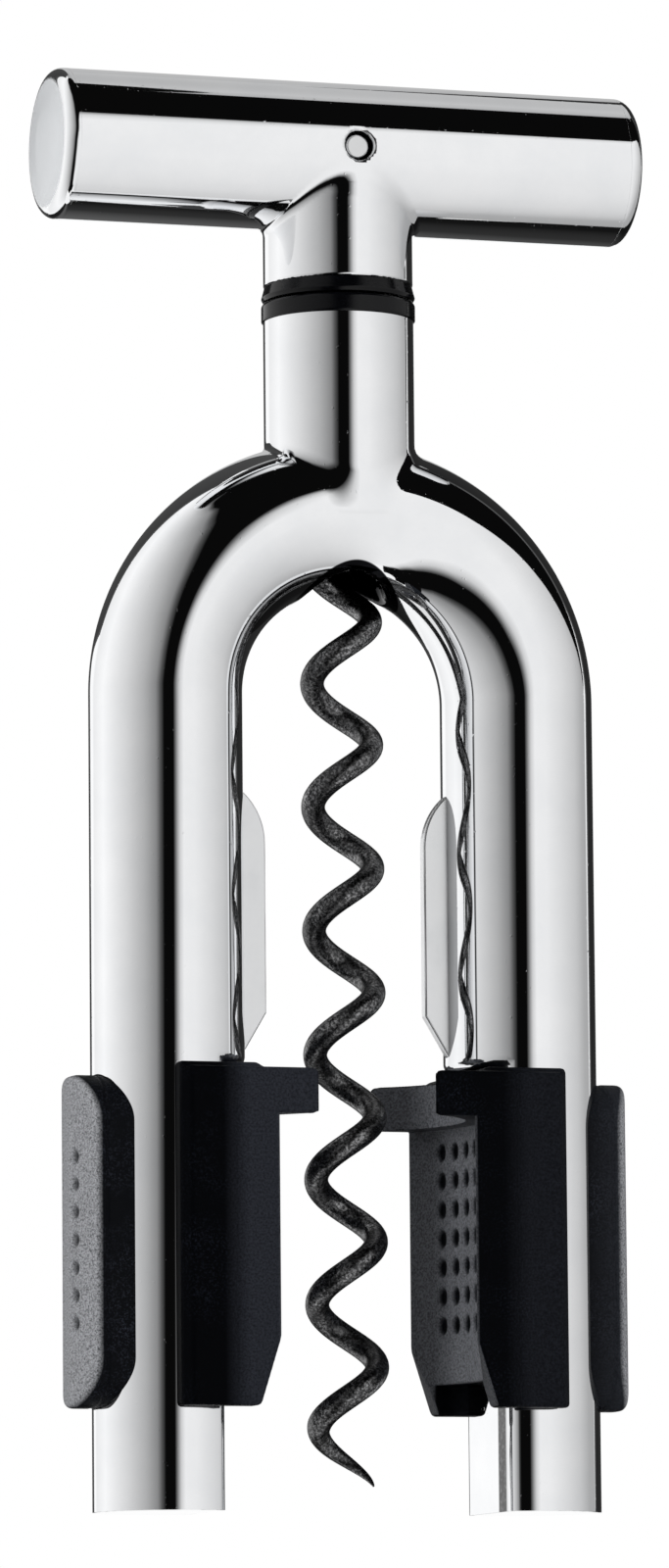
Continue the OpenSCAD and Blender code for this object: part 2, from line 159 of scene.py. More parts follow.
def mirrorChrome(name, look, streak, satinSheenAt=None, darkAndReflectionAt=None):
    # plated metal: cloudy smudges, hair-fine polishing lines and the faint waviness of a cast core
    material, wire = newMaterial(name)
    cloud = grain(wire, 7.0, 4.0, 0.6)
    lines = grain(wire, 0.5, 2.0, 0.5, streak)
    wave = grain(wire, 5.5, 1.0, 0.4)
    pits = grain(wire, 0.5, 1.0, 0.5).span(0.72, 0.82)
    colour = twoTone(wire, cloud.span(0.3, 0.7), look["dark"], look["light"])
    rough = look["rough"] + look["smudge"] * cloud.span(0.45, 0.8) + 0.02 * lines.span(0.5, 0.9)
    normal = bump(wire, wave, look["ripple"], bump(wire, pits, 0.004))
    metal = 1.0
    # near-black on the bore's wall, and a painted dark reflection in the strip on each leg's flat
    if darkAndReflectionAt:
        colour = twoTone(wire, darkAndReflectionAt(wire), colour, look["nearBlackAndReflection"])
    # satin roughness on the cap's disc, plus a painted reflection: a pale, less metallic colour that keeps the disc
    # bright
    if satinSheenAt:
        satinSheen = satinSheenAt(wire)
        colour = twoTone(wire, satinSheen, colour, look["satinSheen"])
        rough = rough + 0.3 * satinSheen
        metal = 1 - 0.7 * satinSheen
    closeMaterial(wire, wire.add("ShaderNodeBsdfPrincipled", None,
                                 {"Base Color": colour, "Metallic": metal, "Roughness": rough, "Normal": normal}))
    return material


def turnedSteel(name, look):
    # tool marks run round the axis, so the grain is squeezed along it
    material, wire = newMaterial(name)
    cloud = grain(wire, 3.0, 3.0, 0.6)
    lines = grain(wire, 0.3, 2.0, 0.5, (1, 1, 6))
    colour = twoTone(wire, cloud.span(0.3, 0.7), look["dark"], look["light"])
    rough = look["rough"] + look["smudge"] * lines.span(0.3, 0.8)
    closeMaterial(wire, wire.add("ShaderNodeBsdfPrincipled", None,
                                 {"Base Color": colour, "Metallic": 1.0, "Roughness": rough,
                                  "Normal": bump(wire, lines, 0.006)}))
    return material


def mouldedBlack(name, look, faceSheenAt=None, sideSheenAt=None):
    # spark-eroded mould grain, rubbed here and there, with a painted sheen, a paler grain standing in for glancing
    # light, where the two mask functions ask for it
    material, wire = newMaterial(name)
    fine = grain(wire, look["grain"], 2.0, 0.6)
    patchy = grain(wire, look["patch"], 3.0, 0.55)
    speck = fine.span(0.5, 0.75) * patchy.span(0.38, 0.66)
    colour = twoTone(wire, speck, look["dark"], look["light"])
    # painted sheen: the two masks lay a paler grain over the plastic's own colour
    if sideSheenAt:
        colour = twoTone(wire, sideSheenAt(wire) * fine.span(0.3, 0.62, 0.4, 1.0), colour, look["half"])
    if faceSheenAt:
        colour = twoTone(wire, faceSheenAt(wire) * fine.span(0.3, 0.62, look["least"], 1.0), colour, look["sheenColour"])
    rough = look["rough"] + 0.10 * (patchy.span(0.3, 0.7) - 0.5) + 0.06 * speck
    closeMaterial(wire, wire.add("ShaderNodeBsdfPrincipled", None,
                                 {"Base Color": colour, "Roughness": rough, "Specular IOR Level": look["gloss"],
                                  "Normal": bump(wire, fine, look["depth"])}))
    return material


def coatedWire(name, look):
    # non-stick coat: coarse sparkling grain on black, rubbed paler in patches
    material, wire = newMaterial(name)
    fine = grain(wire, look["grain"], 3.0, 0.7)
    patchy = grain(wire, 4.0, 2.0, 0.5)
    speck = fine.span(0.46, 0.72) * patchy.span(0.34, 0.6, 0.3, 1.0)
    colour = twoTone(wire, speck, look["dark"], look["light"])
    rough = look["rough"] + 0.10 * fine.span(0.3, 0.7)
    closeMaterial(wire, wire.add("ShaderNodeBsdfPrincipled", None,
                                 {"Base Color": colour, "Metallic": 1.0, "Roughness": rough,
                                  "Normal": bump(wire, fine, 0.03)}))
    return material


finSteel = mirrorChrome("finSteel", finLook, (1, 1, 0.1))
steel = turnedSteel("turnedSteel", steelLook)
innerSteel = turnedSteel("innerSteel", innerLook)
print("shared finishes made")


def addPiece(name, mesh, material, body, nodes):
    # one finished piece: at the origin, on its body, in place of its solids
    piece = bpy.data.objects.new(name, mesh)
    bpy.context.scene.collection.objects.link(piece)
    if not mesh.materials:
        mesh.materials.append(material)
    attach(piece, body)
    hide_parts(*nodes)
    return piece


def meshOf(name, points, faces, normals):
    mesh = bpy.data.meshes.new(name)
    mesh.from_pydata((np.asarray(points) * mm).tolist(), [], [list(map(int, f)) for f in faces])
    mesh.polygons.foreach_set("use_smooth", [True] * len(mesh.polygons))
    mesh.update()
    mesh.normals_split_custom_set_from_vertices(np.asarray(normals).tolist())
    return mesh


# Distance fields in millimetres, negative inside
def join(a, b, blend):
    h = np.maximum(blend - np.abs(a - b), 0) / blend
    return np.minimum(a, b) - h * h * blend / 4


def cut(a, b, edge):
    # keeps where both are negative, with the edge between them rounded
    h = np.maximum(edge - np.abs(a - b), 0) / edge
    return np.maximum(a, b) + h * h * edge / 4


def roundBox(u, v, halfU, halfV, corner):
    du, dv = np.abs(u) - halfU + corner, np.abs(v) - halfV + corner
    return np.hypot(np.maximum(du, 0), np.maximum(dv, 0)) + np.minimum(np.maximum(du, dv), 0) - corner


def slope(field, points, reach=0.004):
    out = np.empty_like(points)
    for axis in range(3):
        step = np.zeros(3)
        step[axis] = reach
        out[:, axis] = (field(points + step) - field(points - step)) / (2 * reach)
    return out


def stepOnto(field, points):
    # how far each point is off the field's surface, as a vector to take away from it
    way = slope(field, points)
    return (field(points) / np.maximum((way * way).sum(1), 0.3))[:, None] * way


def crossed(value):
    # cells of a grid where the values at the eight corners have both signs
    corners = [value[i:value.shape[0] - 1 + i, j:value.shape[1] - 1 + j, k:value.shape[2] - 1 + k]
               for i in (0, 1) for j in (0, 1) for k in (0, 1)]
    return (np.minimum.reduce(corners) < 0) & (np.maximum.reduce(corners) >= 0)


def skinOf(field, low, high, step, creases):
    # walks a grid over the field, puts one point in each cell that the surface crosses and joins neighbours;
    # points along a crease move onto the line where its two fields meet
    axes = [np.arange(a - 1.6 * step, b + 2.6 * step, step) for a, b in zip(low, high)]
    grid = np.stack(np.meshgrid(*axes, indexing="ij"), -1)
    value = field(grid)
    cells = tuple(n - 1 for n in value.shape)
    total = np.zeros(cells + (3,))
    hits = np.zeros(cells)
    edges = []
    for axis in range(3):
        first = np.take(value, range(value.shape[axis] - 1), axis)
        second = np.take(value, range(1, value.shape[axis]), axis)
        place = np.argwhere((first < 0) != (second < 0))
        a, b = first[tuple(place.T)], second[tuple(place.T)]
        points = np.stack([axes[k][place[:, k]] for k in range(3)], -1)
        points[:, axis] += step * a / (a - b)
        left, right = (axis + 1) % 3, (axis + 2) % 3
        ring = []
        for da, db in ((1, 1), (0, 1), (0, 0), (1, 0)):
            cell = place.copy()
            cell[:, left] -= da
            cell[:, right] -= db
            np.add.at(total, tuple(cell.T), points)
            np.add.at(hits, tuple(cell.T), 1)
            ring.append(cell)
        edges.append((ring, a < 0))
    used = hits > 0
    number = np.full(cells, -1)
    number[used] = np.arange(used.sum())
    points = total[used] / hits[used][:, None]
    faces = []
    for ring, outward in edges:
        quad = np.stack([number[tuple(cell.T)] for cell in ring], -1)
        faces.append(np.where(outward[:, None], quad, quad[:, ::-1]))
    for _ in range(3):
        move = stepOnto(field, points)
        length = np.linalg.norm(move, axis=1, keepdims=True)
        points -= move * np.minimum(1, 0.4 * step / np.maximum(length, 1e-9))
    way = slope(field, points)
    for first, second in creases:
        near = (crossed(first(grid)) & crossed(second(grid)))[used]
        spot = points[near]
        for _ in range(5):
            for one in (first, second):
                spot = spot - stepOnto(one, spot)
        close = np.linalg.norm(spot - points[near], axis=1) < 2.4 * step
        place = np.flatnonzero(near)[close]
        points[place] = spot[close]
        way[place] = slope(first, points[place])
    way /= np.maximum(np.linalg.norm(way, axis=1, keepdims=True), 1e-9)
    return points, np.concatenate(faces), way


def addSkin(name, field, low, high, step, material, body, node, creases=()):
    points, faces, normals = skinOf(field, low, high, step, creases)
    addPiece(name, meshOf(name, points, faces, normals), material, body, [node])
    print(name, len(points), "points")


# Yoke: round legs and arch in one sweep, cut back behind the jaws and joined to the barrel
yoke = {"low": (-29.6, -8.7, 0), "high": (29.6, 8.7, 135.3), "step": 0.47,
        "legRadius": 8.7, "legOffset": 20.9, "archHeight": 92.0,
        "reliefOffset": 16.6, "reliefTop": 49.9, "ledgeEdge": 0.4, "flatEdge": 1.0,
        "barrelRadius": 8.6, "barrelTop": 135.3, "saddle": 1.0,
        "boreRadius": 6.5, "throatRadius": 5.0, "throatTop": 110.5, "throatSlope": 0.5, "throatEdge": 0.6,
        "pocketFloor": 24.3, "pocketMiddle": 30.05, "pocketHalf": 6.45, "pocketHigh": 18.7, "pocketCorner": 5.55,
        "linkBore": 3.75, "linkHeights": (21.0, 39.0), "linkReach": 6.0,
        # The next line places the near-black bore and the painted dark reflection strip on each leg's flat
        "blackFoot": 99.0, "stripFrom": 3.5, "stripTo": 6.6}


def darkBoreAndReflection(wire):
    # one on the wall of the barrel's bore, made near-black, and on a painted dark reflection: a strip along one edge
    # of each leg's flat
    x, y, z = spotOf(wire)
    bore = lengthOf(wire, x, y).span((yoke["boreRadius"] + 0.1) * mm, yoke["boreRadius"] * mm)
    bore = bore * z.span(yoke["blackFoot"] * mm, (yoke["blackFoot"] + 1) * mm)
    bore = bore * z.span((yoke["barrelTop"] - 0.4) * mm, (yoke["barrelTop"] - 0.6) * mm)
    near = 0 - y * wire.maths("SIGN", x)
    strip = near.span(yoke["stripFrom"] * mm, (yoke["stripFrom"] + 0.25) * mm)
    strip = strip * near.span(yoke["stripTo"] * mm, (yoke["stripTo"] - 0.5) * mm)
    strip = strip * z.span((yoke["reliefTop"] - 0.9) * mm, (yoke["reliefTop"] - 1.9) * mm)
    flat = wire.maths("ABSOLUTE", x).span((yoke["reliefOffset"] + 0.35) * mm, (yoke["reliefOffset"] + 0.25) * mm)
    return wire.maths("MAXIMUM", bore, strip * flat * grain(wire, 0.5, 2.0, 0.6).span(0.36, 0.5, 0.9, 1.0))


def legsField(p):
    x, y, z = np.abs(p[..., 0]), p[..., 1], p[..., 2]
    ring = np.hypot(x, np.maximum(z - yoke["archHeight"], 0))
    tube = np.hypot(ring - yoke["legOffset"], y) - yoke["legRadius"]
    relief = cut(ring - yoke["reliefOffset"], z - yoke["reliefTop"], yoke["ledgeEdge"])
    return cut(tube, -relief, yoke["flatEdge"])


def pocketField(p):
    wall = roundBox(p[..., 1], p[..., 2] - yoke["pocketMiddle"], yoke["pocketHalf"], yoke["pocketHigh"],
                    yoke["pocketCorner"])
    return np.maximum(wall, yoke["pocketFloor"] - np.abs(p[..., 0]))


def barrelField(p):
    return np.hypot(p[..., 0], p[..., 1]) - yoke["barrelRadius"]


def yokeField(p):
    x, y, z = np.abs(p[..., 0]), p[..., 1], p[..., 2]
    legs = legsField(p)
    barrelFoot = yoke["archHeight"] + yoke["legOffset"]
    shape = join(legs, np.maximum(barrelField(p), barrelFoot - z), yoke["saddle"])
    shape = np.maximum(np.maximum(shape, z - yoke["barrelTop"]), -z)
    wide = np.clip((z - yoke["throatTop"]) / yoke["throatSlope"], 0, 1) * (yoke["boreRadius"] - yoke["throatRadius"])
    bore = np.maximum(np.hypot(x, y) - yoke["throatRadius"] - wide, yoke["archHeight"] - z)
    shape = cut(shape, -bore, yoke["throatEdge"])
    shape = np.maximum(shape, -pocketField(p))
    for height in yoke["linkHeights"]:
        link = np.maximum(np.hypot(y, z - height) - yoke["linkBore"], yoke["legOffset"] - yoke["linkReach"] - x)
        shape = np.maximum(shape, -link)
    return shape


chrome = mirrorChrome("mirrorChrome", chromeLook, (1, 1, 0.08), None, darkBoreAndReflection)
addSkin("yoke", yokeField, yoke["low"], yoke["high"], yoke["step"], chrome, "frame", "frame_yoke",
        ((legsField, pocketField), (legsField, lambda p: p[..., 2]),
         (barrelField, lambda p: p[..., 2] - yoke["barrelTop"])))

# Handle: bar and stem in one casting, with the hole for the cross pin
handle = {"low": (-32.8, -8.6, 139.4), "high": (32.8, 8.6, 163.1), "step": 0.36,
          "barRadius": 8.6, "barHalf": 32.8, "barHeight": 154.45, "stemRadius": 8.55, "stemFoot": 139.45,
          "footEdge": 0.2, "neck": 1.6, "neckHigh": 6.0, "saddle": 0.8, "pinHole": 1.7, "pinEdge": 0.35}


def barField(p):
    return np.hypot(p[..., 1], p[..., 2] - handle["barHeight"]) - handle["barRadius"]


def handleField(p):
    x, y, z = np.abs(p[..., 0]), p[..., 1], p[..., 2]
    bar = np.maximum(barField(p), x - handle["barHalf"])
    above = z - handle["barHeight"]
    neck = handle["neck"] * np.maximum(above / handle["neckHigh"] + 1, 0) ** 2
    stem = np.maximum(np.hypot(x, y) - handle["stemRadius"] + neck, above)
    shape = cut(join(bar, stem, handle["saddle"]), handle["stemFoot"] - z, handle["footEdge"])
    hole = np.hypot(x, z - handle["barHeight"]) - handle["pinHole"]
    return cut(shape, -hole, handle["pinEdge"])


barChrome = mirrorChrome("barChrome", chromeLook, (0.08, 1, 1))
addSkin("handleBar", handleField, handle["low"], handle["high"], handle["step"], barChrome, "handle",
        "handle_bar", ((barField, lambda p: np.abs(p[..., 0]) - handle["barHalf"]),))

# Grips: grained pads with rounded edges and a double row of dimples
grip = {"inner": 26.1, "legOffset": 20.9, "radius": 11.9, "half": 6.3, "middle": 30.05, "high": 18.55, "corner": 5.4,
        "edge": 1.0, "innerEdge": 0.4, "rows": 7, "pitch": 3.1, "columns": (-2.5, 2.5), "dimple": 1.1, "sink": 0.55,
        # The next line also holds where the painted sheen on the right grip's walls starts and ends
        "dimpleEdge": 0.25, "seam": 0.3, "seamDeep": 0.5, "seamOffset": 29.75, "sheenFrom": 26.0, "sheenTo": 31.0,
        "near": 26.0, "far": 32.9, "low": (-6.4, 11.4), "top": (6.4, 48.7), "step": 0.25}
# In gripLook the third and fourth colours are painted sheen: a paler grain on the right grip's walls and on the outer
# faces
gripLook = {"dark": (0.002, 0.0024, 0.0036), "light": (0.022, 0.025, 0.035), "half": (0.017, 0.019, 0.024),
            "sheenColour": (0.29, 0.295, 0.31), "rough": 0.46, "grain": 0.22, "patch": 6.0, "gloss": 0.05, "depth": 0.04,
            "least": 0.2}


def gripFaceSheen(wire):
    # one on the outer face of a grip, nought on its walls and low in the dimples: painted sheen on the face, painted
    # shade in the dimples
    x, y, z = spotOf(wire)
    out = wire.maths("ABSOLUTE", x) - grip["legOffset"] * mm
    return lengthOf(wire, out, y).span((grip["radius"] - 0.6) * mm, (grip["radius"] - 0.15) * mm)


def gripWallSheen(wire):
    # painted sheen on the right grip's walls, paler towards the hand
    x, y, z = spotOf(wire)
    return x.span(grip["sheenFrom"] * mm, grip["sheenTo"] * mm)


def gripField(side):
    def field(p):
        x, y, z = p[..., 0] * side, p[..., 1], p[..., 2] - grip["middle"]
        wall = roundBox(y, z, grip["half"], grip["high"], grip["corner"])
        groove = np.maximum(grip["seam"] - np.abs(x - grip["seamOffset"]), 0)
        outer = np.hypot(x - grip["legOffset"], y) - grip["radius"]
        shape = cut(wall + grip["seamDeep"] * groove, outer, grip["edge"])
        shape = cut(shape, grip["inner"] - x, grip["innerEdge"])
        row = np.clip(np.round(z / grip["pitch"]), -(grip["rows"] // 2), grip["rows"] // 2) * grip["pitch"]
        for column in grip["columns"]:
            depth = math.sqrt(grip["radius"] ** 2 - column ** 2) + grip["legOffset"] + grip["sink"]
            dent = np.sqrt((x - depth) ** 2 + (y - column) ** 2 + (z - row) ** 2) - grip["dimple"]
            shape = cut(shape, -dent, grip["dimpleEdge"])
        return shape
    return field


gripBlack = mouldedBlack("gripBlack", gripLook, gripFaceSheen, gripWallSheen)
for side, word in bothSides:
    ends = sorted((grip["near"] * side, grip["far"] * side))
    addSkin(word + "Grip", gripField(side), (ends[0], *grip["low"]), (ends[1], *grip["top"]), grip["step"], gripBlack,
            word + "_clamp", word + "_grip")

# Jaws: hollow seat with dimples, stop above it, sloping lead-in below, open channel behind for the leg
jaw = {"back": 16.45, "end": 22.7, "half": 12.0, "draft": 0.2, "bevel": 1.0, "bevelEdge": 0.3, "foot": 11.4,
       "top": 49.6, "edge": 11.2, "round": 0.5, "stop": 43.9, "stopRadius": 13.5, "seatRadius": 19.8,
       "seatMiddle": -4.55, "lipEdge": 0.45, "leadWide": 2.6, "leadHigh": 8.2, "open": 3.4, "openEdge": 0.4,
       "channel": 9.0, "channelEdge": 0.3, "boss": 3.4, "bossHigh": 2.0, "bossHeights": (21.0, 39.0),
       "seam": 0.25, "seamDeep": 0.5, "collar": 0.6, "collarHalf": 11.4, "collarFrom": 12.4, "collarFade": (1.2, 1.4),
       "rows": 7, "firstRow": 41.3, "pitch": 3.3, "columns": 7, "turn": 7.3,
       "dimple": 1.15, "slim": 0.76, "deep": 0.5, "dimpleEdge": 0.15,
       # From the next line on, some numbers place the painted sheen on the seat and on one half of each jaw
       "leadWay": (0.953, 0.302), "leadFace": 16.68, "seatSheen": (8.8, 4.6), "seatSheenLeast": 0.4,
       "sheenLeft": (-18.0, -15.0), "sheenRight": (14.8, 17.8), "sheenRightShare": 0.4,
       "near": 6.0, "far": 22.8, "low": (-12.1, 11.3), "high": (12.1, 49.7), "step": 0.29}
# In jawLook the third and fourth colours are painted sheen: a paler grain on one half of each jaw and on the walls of
# its hollow
jawLook = {"dark": (0.0008, 0.0010, 0.0016), "light": (0.006, 0.0075, 0.012), "half": (0.019, 0.021, 0.027),
           "sheenColour": (0.150, 0.155, 0.170), "rough": 0.44, "grain": 0.26, "patch": 7.0, "gloss": 0.02, "depth": 0.02,
           "least": 0.35}


def lipWallSheen(wire):
    # painted sheen on the wall for the bottle's lip, its lead-in and the stop above: nought in the dimples, which is
    # painted shade there, and strongest at the middle of the seat
    x, y, z = spotOf(wire)
    x = wire.maths("ABSOLUTE", x)
    leadTop = jaw["foot"] + jaw["leadHigh"]
    seat = lengthOf(wire, x - jaw["seatMiddle"] * mm, y)
    seat = seat.span((jaw["seatRadius"] + 0.4) * mm, (jaw["seatRadius"] + 0.1) * mm)
    lead = (x * jaw["leadWay"][0] + z * jaw["leadWay"][1]).span((jaw["leadFace"] + 0.07) * mm, jaw["leadFace"] * mm)
    lead = lead * z.span((leadTop + 0.2) * mm, (leadTop - 0.1) * mm)
    stop = lengthOf(wire, x, y).span((jaw["stopRadius"] + 0.15) * mm, (jaw["stopRadius"] + 0.05) * mm)
    stop = stop * z.span((jaw["stop"] - 0.1) * mm, (jaw["stop"] + 0.1) * mm)
    low = wire.maths("MAXIMUM", seat, lead) * z.span((jaw["stop"] + 0.1) * mm, (jaw["stop"] - 0.1) * mm)
    seatSheen = seat * wire.maths("ABSOLUTE", y).span(jaw["seatSheen"][0] * mm, jaw["seatSheen"][1] * mm)
    return wire.maths("MAXIMUM", low, stop) * (jaw["seatSheenLeast"] + (1 - jaw["seatSheenLeast"]) * seatSheen)


def jawSideSheen(wire):
    # painted sheen on one half of each jaw, to the right of its parting line, a lighter tone that stands in for
    # glancing light
    x, y, z = spotOf(wire)
    left = x.span(jaw["sheenLeft"][0] * mm, jaw["sheenLeft"][1] * mm) * x.span(1 * mm, 0)
    right = x.span(jaw["sheenRight"][0] * mm, jaw["sheenRight"][1] * mm)
    return wire.maths("MAXIMUM", left, jaw["sheenRightShare"] * right)


def jawField(side):
    def field(p):
        x, y, z = p[..., 0] * side, p[..., 1], p[..., 2]
        deep = np.abs(y)
        # side faces with draft on both sides of the parting line
        lean = np.maximum((jaw["back"] - x) / jaw["back"],
                          (x - jaw["back"]) / (jaw["end"] - jaw["bevel"] - jaw["back"]))
        groove = jaw["seamDeep"] * np.maximum(jaw["seam"] - np.abs(x - jaw["back"]), 0)
        shape = cut(deep - jaw["half"] + jaw["draft"] * lean + groove, x - jaw["end"], jaw["round"])
        corner = (x + deep - jaw["end"] - jaw["half"] + jaw["draft"] + jaw["bevel"]) / math.sqrt(2)
        shape = cut(shape, corner, jaw["bevelEdge"])
        # top with a low collar, and foot
        rim = np.clip((jaw["collarHalf"] - deep) / jaw["collarFade"][0], 0, 1) \
            * np.clip((x - jaw["collarFrom"]) / jaw["collarFade"][1], 0, 1)
        rim = rim * rim * (3 - 2 * rim) - 1
        shape = cut(shape, z - jaw["top"] - jaw["collar"] * rim, jaw["round"])
        shape = cut(shape, jaw["foot"] - z, jaw["round"])
        # hollow for the bottle's lip
        above = np.maximum(np.hypot(x, y) - jaw["stopRadius"], jaw["stop"] - z)
        seat = np.hypot(x - jaw["seatMiddle"], y) - jaw["seatRadius"]
        lead = ((x - jaw["edge"]) * jaw["leadHigh"] + (z - jaw["foot"] - jaw["leadHigh"]) * jaw["leadWide"]) \
            / math.hypot(jaw["leadHigh"], jaw["leadWide"])
        below = np.maximum(np.minimum(np.minimum(x - jaw["edge"], seat), lead), z - jaw["stop"])
        shape = cut(shape, -np.minimum(above, below), jaw["lipEdge"])
        # opening at the foot, and channel for the leg with bosses for the link pins
        shape = cut(shape, -np.maximum(deep - jaw["channel"], z - jaw["foot"] - jaw["open"]), jaw["openEdge"])
        channel = np.maximum(deep - jaw["channel"], jaw["back"] - x)
        for height in jaw["bossHeights"]:
            boss = np.maximum(np.hypot(y, z - height) - jaw["boss"], x - jaw["back"] - jaw["bossHigh"])
            channel = np.maximum(channel, -boss)
        shape = cut(shape, -channel, jaw["channelEdge"])
        # dimples, in rows and columns over the seat
        row = np.clip(np.round((jaw["firstRow"] - z) / jaw["pitch"]), 0, jaw["rows"] - 1)
        row = jaw["firstRow"] - jaw["pitch"] * row
        turn = math.radians(jaw["turn"])
        half = jaw["columns"] // 2
        line = turn * np.clip(np.round(np.arctan2(y, x - jaw["seatMiddle"]) / turn), -half, half)
        along = (x - jaw["seatMiddle"]) * np.cos(line) + y * np.sin(line) - jaw["seatRadius"]
        aside = y * np.cos(line) - (x - jaw["seatMiddle"]) * np.sin(line)
        dent = np.sqrt((along / jaw["deep"]) ** 2 + (aside / jaw["slim"]) ** 2 + ((z - row) / jaw["dimple"]) ** 2)
        return cut(shape, -(dent - 1) * jaw["deep"], jaw["dimpleEdge"])
    return field


jawBlack = mouldedBlack("jawBlack", jawLook, lipWallSheen, jawSideSheen)
for side, word in bothSides:
    ends = sorted((jaw["near"] * side, jaw["far"] * side))
    addSkin(word + "Jaw", jawField(side), (ends[0], *jaw["low"]), (ends[1], *jaw["high"]), jaw["step"], jawBlack,
            word + "_clamp", word + "_jaw")


# Turned pieces: a profile of corners, each with its rounding, spun about an axis
def roundedProfile(corners, arcSteps):
    out = []
    count = len(corners)
    for i, (r, h, rounding) in enumerate(corners):
        here = np.array((r, h))
        if r == 0:
            out.append((here, np.array((0.0, -1.0 if i == 0 else 1.0))))
            continue
        before = np.array(corners[i - 1][:2]) - here
        after = np.array(corners[(i + 1) % count][:2]) - here
        before, after = before / np.linalg.norm(before), after / np.linalg.norm(after)
        angle = math.acos(np.clip(before @ after, -1, 1))
        reach = rounding / math.tan(angle / 2)
        start, end = here + before * reach, here + after * reach
        middle = here + (before + after) / np.linalg.norm(before + after) * rounding / math.sin(angle / 2)
        sweep = math.pi - angle
        convex = before[0] * after[1] - before[1] * after[0] < 0
        for k in range(arcSteps + 1):
            share = k / arcSteps
            spoke = (math.sin((1 - share) * sweep) * (start - middle) + math.sin(share * sweep) * (end - middle)) \
                / math.sin(sweep)
            out.append((middle + spoke, spoke / rounding * (1 if convex else -1)))
    return out


def turnedMesh(name, corners, steps=128, place=Matrix.Identity(4), arcSteps=6):
    # corners run outwards and up from the lower end; ends on the axis close with a pole
    profile = roundedProfile(corners, arcSteps)
    poles = [profile[0], profile[-1]] if corners[0][0] == 0 else []
    rings = profile[1:-1] if poles else profile
    spin = place.to_3x3()
    points, normals = [], []
    for point, normal in rings:
        for k in range(steps):
            turn = 2 * math.pi * k / steps
            across, up = math.cos(turn), math.sin(turn)
            points.append(place @ Vector((point[0] * across, point[0] * up, point[1])))
            normals.append(spin @ Vector((normal[0] * across, normal[0] * up, normal[1])).normalized())
    count = len(rings)
    faces = [(i * steps + k, i * steps + (k + 1) % steps, (i + 1) % count * steps + (k + 1) % steps,
              (i + 1) % count * steps + k) for i in range(count - 1 if poles else count) for k in range(steps)]
    for ring, (point, normal) in zip((0, count - 1), poles):
        tip = len(points)
        points.append(place @ Vector((0, 0, point[1])))
        normals.append(spin @ Vector((0, 0, normal[1])))
        fan = [(tip, ring * steps + (k + 1) % steps, ring * steps + k) for k in range(steps)]
        faces += fan if ring == 0 else [face[::-1] for face in fan]
    return meshOf(name, [tuple(p) for p in points], faces, [tuple(n) for n in normals])


# Bearing: the guide bush, whose flange is the lower black ring, and the flared ring above it
bearing = {"bore": 5.25, "ring": 8.8, "barrelTop": 135.3, "flangeTop": 137.5, "upperFoot": 137.65, "upperTop": 139.43,
           "lip": 0.45, "lipIn": 0.25, "flare": 0.35, "sleeveFoot": 119.3, "sleeveRadius": 6.48}
ringLook = {"dark": (0.0010, 0.0011, 0.0016), "light": (0.003, 0.0034, 0.005), "rough": 0.13, "grain": 0.16,
            "patch": 6.0, "gloss": 0.22, "depth": 0.004}
ringBlack = mouldedBlack("ringBlack", ringLook)
addPiece("guideBush", turnedMesh("guideBush", [
    (bearing["bore"], bearing["sleeveFoot"], 0.15), (bearing["sleeveRadius"], bearing["sleeveFoot"], 0.15),
    (bearing["sleeveRadius"], bearing["barrelTop"], 0.1), (bearing["ring"], bearing["barrelTop"], 0.3),
    (bearing["ring"], bearing["flangeTop"], 0.45), (bearing["bore"], bearing["flangeTop"], 0.15)]),
    ringBlack, "frame", ["guide_bush"])
addPiece("upperRing", turnedMesh("upperRing", [
    (bearing["bore"], bearing["upperFoot"], 0.1), (bearing["ring"] - bearing["lipIn"], bearing["upperFoot"], 0.2),
    (bearing["ring"], bearing["upperFoot"] + bearing["lip"], 0.25),
    (bearing["ring"] - bearing["flare"], bearing["upperTop"], 0.12), (bearing["bore"], bearing["upperTop"], 0.1)]),
    ringBlack, "handle", ["upper_ring"])

# End caps: shallow domes with a satin disc, painted pale as a stand-in for a bright reflection, on plugs in the ends
# of the bar
cap = {"radius": 8.6, "high": 2.1, "rounding": 1.5, "dome": 0.5,
       "shoulder": 0.45, "shoulderDrop": 0.12, "shoulderRounding": 9.0, "plug": 6.18, "plugLong": 5.0,
       "disc": 7.1, "discFade": 0.4, "steps": 160, "arcSteps": 9}


def capSheenDisc(wire):
    # one on the flat of an end cap, where the satin finish and the painted pale reflection go, nought on its rim
    x, y, z = spotOf(wire)
    out = lengthOf(wire, y, z - handle["barHeight"] * mm)
    return out.span((cap["disc"] + cap["discFade"]) * mm, cap["disc"] * mm)


capChrome = mirrorChrome("capChrome", chromeLook, (1, 1, 1), capSheenDisc)
for side, word in bothSides:
    place = Matrix.Translation((side * handle["barHalf"], 0, handle["barHeight"])) \
        @ Matrix.Rotation(side * math.pi / 2, 4, "Y")
    corners = [(0, -cap["plugLong"], 0), (cap["plug"], -cap["plugLong"], 0.4), (cap["plug"], 0, 0.1),
               (cap["radius"], 0, 0.02), (cap["radius"], cap["high"] - cap["dome"], cap["rounding"]),
               (cap["radius"] * cap["shoulder"], cap["high"] - cap["shoulderDrop"], cap["shoulderRounding"]),
               (0, cap["high"], 0)]
    mesh = turnedMesh(word + "EndCap", corners, cap["steps"], place, cap["arcSteps"])
    addPiece(word + "EndCap", mesh, capChrome, "handle", [word + "_end_cap"])

